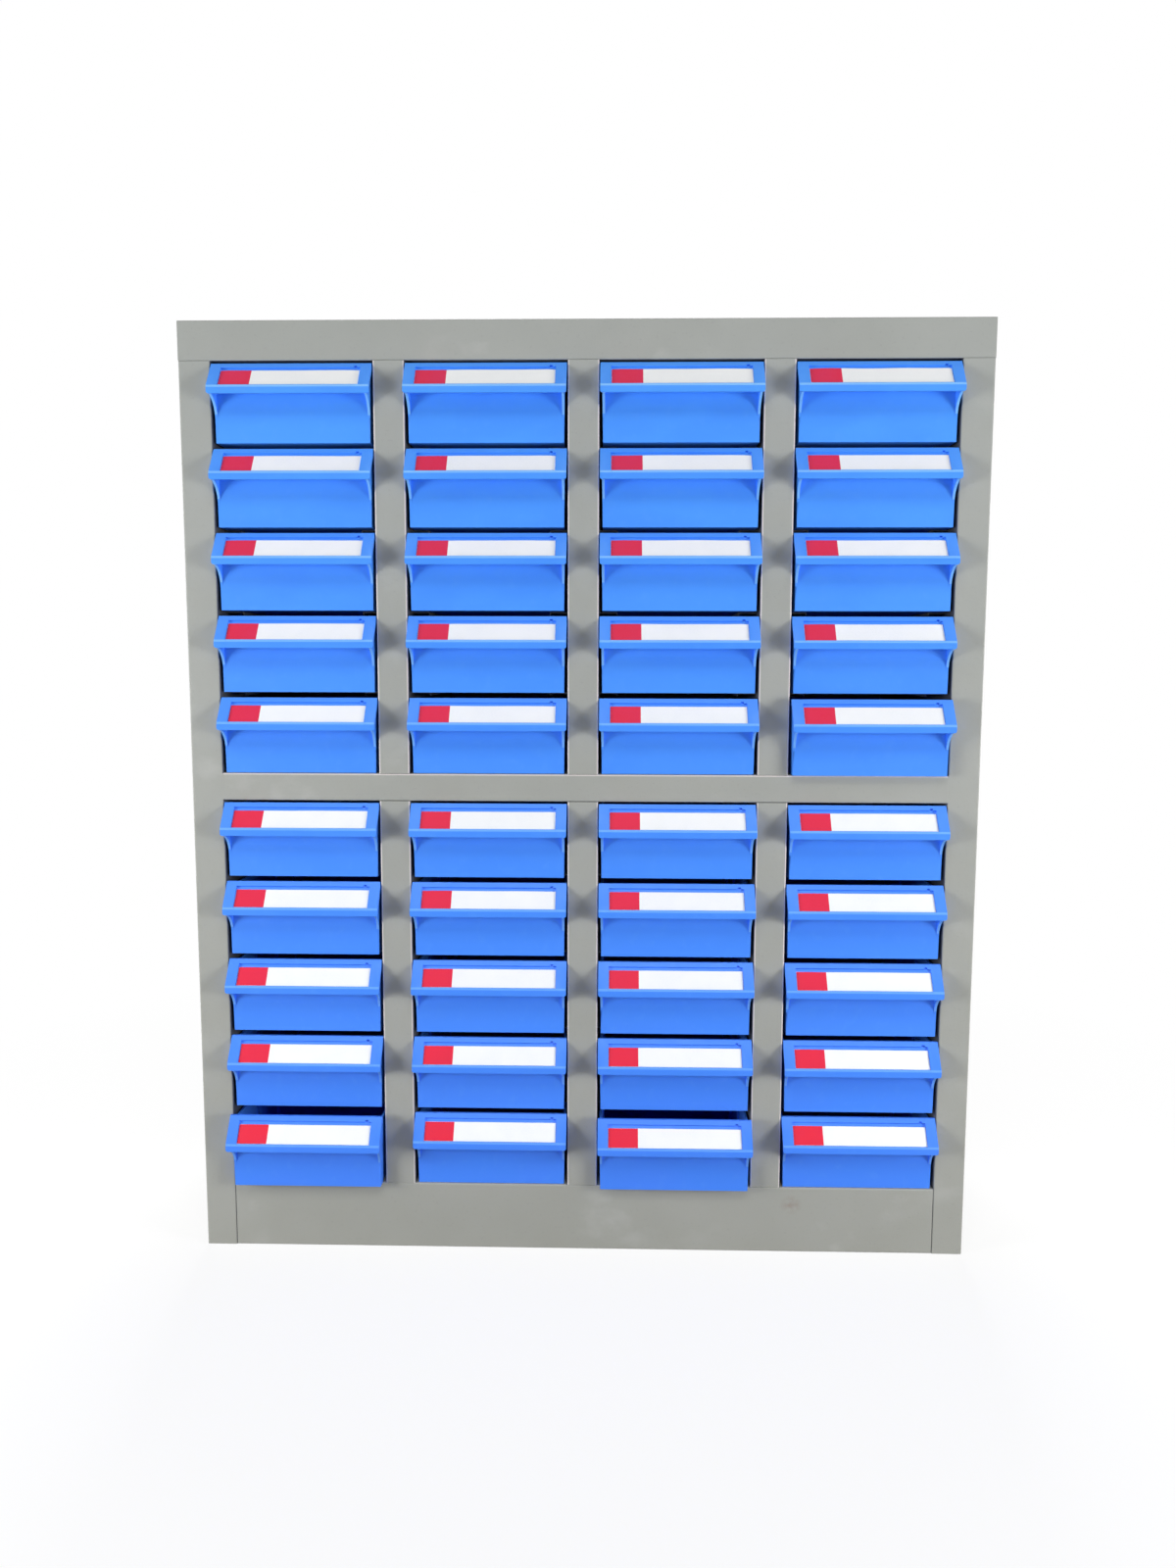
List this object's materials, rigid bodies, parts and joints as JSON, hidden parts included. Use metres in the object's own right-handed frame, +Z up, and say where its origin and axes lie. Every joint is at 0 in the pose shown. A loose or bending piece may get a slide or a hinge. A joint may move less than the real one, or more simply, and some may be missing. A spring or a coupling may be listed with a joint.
{
  "type": "parts bin cabinet",
  "caption": "Free-standing sheet-steel parts cabinet with columns of sliding moulded drawers, each with a sloped label plate over a finger pull.",
  "frame": {"origin": "on the floor, in the middle of the whole footprint, which takes in the cabinet and the handles in front of it", "axes": "+X to the right seen from the front, +Y from the front to the back, +Z up; the drawers slide out towards -Y"},
  "size_m": [0.6, 0.2444, 0.714],
  "materials": {
    "steel_sheet": "satin",
    "runner_steel": "satin",
    "rivet_metal": "satin",
    "drawer_plastic": "satin",
    "label_card": "matte"
  },
  "bodies": {
    "cabinet": {"left_side_panel": "steel_sheet", "right_side_panel": "steel_sheet", "top_panel": "steel_sheet", "middle_shelf": "steel_sheet", "bottom_panel": "steel_sheet", "back_panel": "steel_sheet", "upper_divider_1": "steel_sheet", "upper_divider_2": "steel_sheet", "upper_divider_3": "steel_sheet", "lower_divider_1": "steel_sheet", "lower_divider_2": "steel_sheet", "lower_divider_3": "steel_sheet", "runners_column_1": "runner_steel", "runners_column_2": "runner_steel", "runners_column_3": "runner_steel", "runners_column_4": "runner_steel", "back_rivets": "rivet_metal"},
    "drawer_body_1_1": {"drawer_1_1": "drawer_plastic"},
    "drawer_body_1_2": {"drawer_1_2": "drawer_plastic"},
    "drawer_body_1_3": {"drawer_1_3": "drawer_plastic"},
    "drawer_body_1_4": {"drawer_1_4": "drawer_plastic"},
    "drawer_body_2_1": {"drawer_2_1": "drawer_plastic"},
    "drawer_body_2_2": {"drawer_2_2": "drawer_plastic"},
    "drawer_body_2_3": {"drawer_2_3": "drawer_plastic"},
    "drawer_body_2_4": {"drawer_2_4": "drawer_plastic"},
    "drawer_body_3_1": {"drawer_3_1": "drawer_plastic"},
    "drawer_body_3_2": {"drawer_3_2": "drawer_plastic"},
    "drawer_body_3_3": {"drawer_3_3": "drawer_plastic"},
    "drawer_body_3_4": {"drawer_3_4": "drawer_plastic"},
    "drawer_body_4_1": {"drawer_4_1": "drawer_plastic"},
    "drawer_body_4_2": {"drawer_4_2": "drawer_plastic"},
    "drawer_body_4_3": {"drawer_4_3": "drawer_plastic"},
    "drawer_body_4_4": {"drawer_4_4": "drawer_plastic"},
    "drawer_body_5_1": {"drawer_5_1": "drawer_plastic"},
    "drawer_body_5_2": {"drawer_5_2": "drawer_plastic"},
    "drawer_body_5_3": {"drawer_5_3": "drawer_plastic"},
    "drawer_body_5_4": {"drawer_5_4": "drawer_plastic"},
    "drawer_body_6_1": {"drawer_6_1": "drawer_plastic"},
    "drawer_body_6_2": {"drawer_6_2": "drawer_plastic"},
    "drawer_body_6_3": {"drawer_6_3": "drawer_plastic"},
    "drawer_body_6_4": {"drawer_6_4": "drawer_plastic"},
    "drawer_body_7_1": {"drawer_7_1": "drawer_plastic"},
    "drawer_body_7_2": {"drawer_7_2": "drawer_plastic"},
    "drawer_body_7_3": {"drawer_7_3": "drawer_plastic"},
    "drawer_body_7_4": {"drawer_7_4": "drawer_plastic"},
    "drawer_body_8_1": {"drawer_8_1": "drawer_plastic"},
    "drawer_body_8_2": {"drawer_8_2": "drawer_plastic"},
    "drawer_body_8_3": {"drawer_8_3": "drawer_plastic"},
    "drawer_body_8_4": {"drawer_8_4": "drawer_plastic"},
    "drawer_body_9_1": {"drawer_9_1": "drawer_plastic"},
    "drawer_body_9_2": {"drawer_9_2": "drawer_plastic"},
    "drawer_body_9_3": {"drawer_9_3": "drawer_plastic"},
    "drawer_body_9_4": {"drawer_9_4": "drawer_plastic"},
    "drawer_body_10_1": {"drawer_10_1": "drawer_plastic"},
    "drawer_body_10_2": {"drawer_10_2": "drawer_plastic"},
    "drawer_body_10_3": {"drawer_10_3": "drawer_plastic"},
    "drawer_body_10_4": {"drawer_10_4": "drawer_plastic"}
  },
  "joints": [
    {"name": "slide_1_1", "type": "slide", "parent": "cabinet", "child": "drawer_body_1_1", "axis": [0, -1, 0], "range_m": [0, 0.15]},
    {"name": "slide_1_2", "type": "slide", "parent": "cabinet", "child": "drawer_body_1_2", "axis": [0, -1, 0], "range_m": [0, 0.15]},
    {"name": "slide_1_3", "type": "slide", "parent": "cabinet", "child": "drawer_body_1_3", "axis": [0, -1, 0], "range_m": [0, 0.15]},
    {"name": "slide_1_4", "type": "slide", "parent": "cabinet", "child": "drawer_body_1_4", "axis": [0, -1, 0], "range_m": [0, 0.15]},
    {"name": "slide_2_1", "type": "slide", "parent": "cabinet", "child": "drawer_body_2_1", "axis": [0, -1, 0], "range_m": [0, 0.15]},
    {"name": "slide_2_2", "type": "slide", "parent": "cabinet", "child": "drawer_body_2_2", "axis": [0, -1, 0], "range_m": [0, 0.15]},
    {"name": "slide_2_3", "type": "slide", "parent": "cabinet", "child": "drawer_body_2_3", "axis": [0, -1, 0], "range_m": [0, 0.15]},
    {"name": "slide_2_4", "type": "slide", "parent": "cabinet", "child": "drawer_body_2_4", "axis": [0, -1, 0], "range_m": [0, 0.15]},
    {"name": "slide_3_1", "type": "slide", "parent": "cabinet", "child": "drawer_body_3_1", "axis": [0, -1, 0], "range_m": [0, 0.15]},
    {"name": "slide_3_2", "type": "slide", "parent": "cabinet", "child": "drawer_body_3_2", "axis": [0, -1, 0], "range_m": [0, 0.15]},
    {"name": "slide_3_3", "type": "slide", "parent": "cabinet", "child": "drawer_body_3_3", "axis": [0, -1, 0], "range_m": [0, 0.15]},
    {"name": "slide_3_4", "type": "slide", "parent": "cabinet", "child": "drawer_body_3_4", "axis": [0, -1, 0], "range_m": [0, 0.15]},
    {"name": "slide_4_1", "type": "slide", "parent": "cabinet", "child": "drawer_body_4_1", "axis": [0, -1, 0], "range_m": [0, 0.15]},
    {"name": "slide_4_2", "type": "slide", "parent": "cabinet", "child": "drawer_body_4_2", "axis": [0, -1, 0], "range_m": [0, 0.15]},
    {"name": "slide_4_3", "type": "slide", "parent": "cabinet", "child": "drawer_body_4_3", "axis": [0, -1, 0], "range_m": [0, 0.15]},
    {"name": "slide_4_4", "type": "slide", "parent": "cabinet", "child": "drawer_body_4_4", "axis": [0, -1, 0], "range_m": [0, 0.15]},
    {"name": "slide_5_1", "type": "slide", "parent": "cabinet", "child": "drawer_body_5_1", "axis": [0, -1, 0], "range_m": [0, 0.15]},
    {"name": "slide_5_2", "type": "slide", "parent": "cabinet", "child": "drawer_body_5_2", "axis": [0, -1, 0], "range_m": [0, 0.15]},
    {"name": "slide_5_3", "type": "slide", "parent": "cabinet", "child": "drawer_body_5_3", "axis": [0, -1, 0], "range_m": [0, 0.15]},
    {"name": "slide_5_4", "type": "slide", "parent": "cabinet", "child": "drawer_body_5_4", "axis": [0, -1, 0], "range_m": [-0.007, 0.143]},
    {"name": "slide_6_1", "type": "slide", "parent": "cabinet", "child": "drawer_body_6_1", "axis": [0, -1, 0], "range_m": [0, 0.15]},
    {"name": "slide_6_2", "type": "slide", "parent": "cabinet", "child": "drawer_body_6_2", "axis": [0, -1, 0], "range_m": [0, 0.15]},
    {"name": "slide_6_3", "type": "slide", "parent": "cabinet", "child": "drawer_body_6_3", "axis": [0, -1, 0], "range_m": [0, 0.15]},
    {"name": "slide_6_4", "type": "slide", "parent": "cabinet", "child": "drawer_body_6_4", "axis": [0, -1, 0], "range_m": [0, 0.15]},
    {"name": "slide_7_1", "type": "slide", "parent": "cabinet", "child": "drawer_body_7_1", "axis": [0, -1, 0], "range_m": [0, 0.15]},
    {"name": "slide_7_2", "type": "slide", "parent": "cabinet", "child": "drawer_body_7_2", "axis": [0, -1, 0], "range_m": [0, 0.15]},
    {"name": "slide_7_3", "type": "slide", "parent": "cabinet", "child": "drawer_body_7_3", "axis": [0, -1, 0], "range_m": [0, 0.15]},
    {"name": "slide_7_4", "type": "slide", "parent": "cabinet", "child": "drawer_body_7_4", "axis": [0, -1, 0], "range_m": [0, 0.15]},
    {"name": "slide_8_1", "type": "slide", "parent": "cabinet", "child": "drawer_body_8_1", "axis": [0, -1, 0], "range_m": [0, 0.15]},
    {"name": "slide_8_2", "type": "slide", "parent": "cabinet", "child": "drawer_body_8_2", "axis": [0, -1, 0], "range_m": [0, 0.15]},
    {"name": "slide_8_3", "type": "slide", "parent": "cabinet", "child": "drawer_body_8_3", "axis": [0, -1, 0], "range_m": [0, 0.15]},
    {"name": "slide_8_4", "type": "slide", "parent": "cabinet", "child": "drawer_body_8_4", "axis": [0, -1, 0], "range_m": [0, 0.15]},
    {"name": "slide_9_1", "type": "slide", "parent": "cabinet", "child": "drawer_body_9_1", "axis": [0, -1, 0], "range_m": [0, 0.15]},
    {"name": "slide_9_2", "type": "slide", "parent": "cabinet", "child": "drawer_body_9_2", "axis": [0, -1, 0], "range_m": [0, 0.15]},
    {"name": "slide_9_3", "type": "slide", "parent": "cabinet", "child": "drawer_body_9_3", "axis": [0, -1, 0], "range_m": [0, 0.15]},
    {"name": "slide_9_4", "type": "slide", "parent": "cabinet", "child": "drawer_body_9_4", "axis": [0, -1, 0], "range_m": [0, 0.15]},
    {"name": "slide_10_1", "type": "slide", "parent": "cabinet", "child": "drawer_body_10_1", "axis": [0, -1, 0], "range_m": [-0.0094, 0.1406]},
    {"name": "slide_10_2", "type": "slide", "parent": "cabinet", "child": "drawer_body_10_2", "axis": [0, -1, 0], "range_m": [0, 0.15]},
    {"name": "slide_10_3", "type": "slide", "parent": "cabinet", "child": "drawer_body_10_3", "axis": [0, -1, 0], "range_m": [-0.0087, 0.1413]},
    {"name": "slide_10_4", "type": "slide", "parent": "cabinet", "child": "drawer_body_10_4", "axis": [0, -1, 0], "range_m": [0, 0.15]}
  ]
}
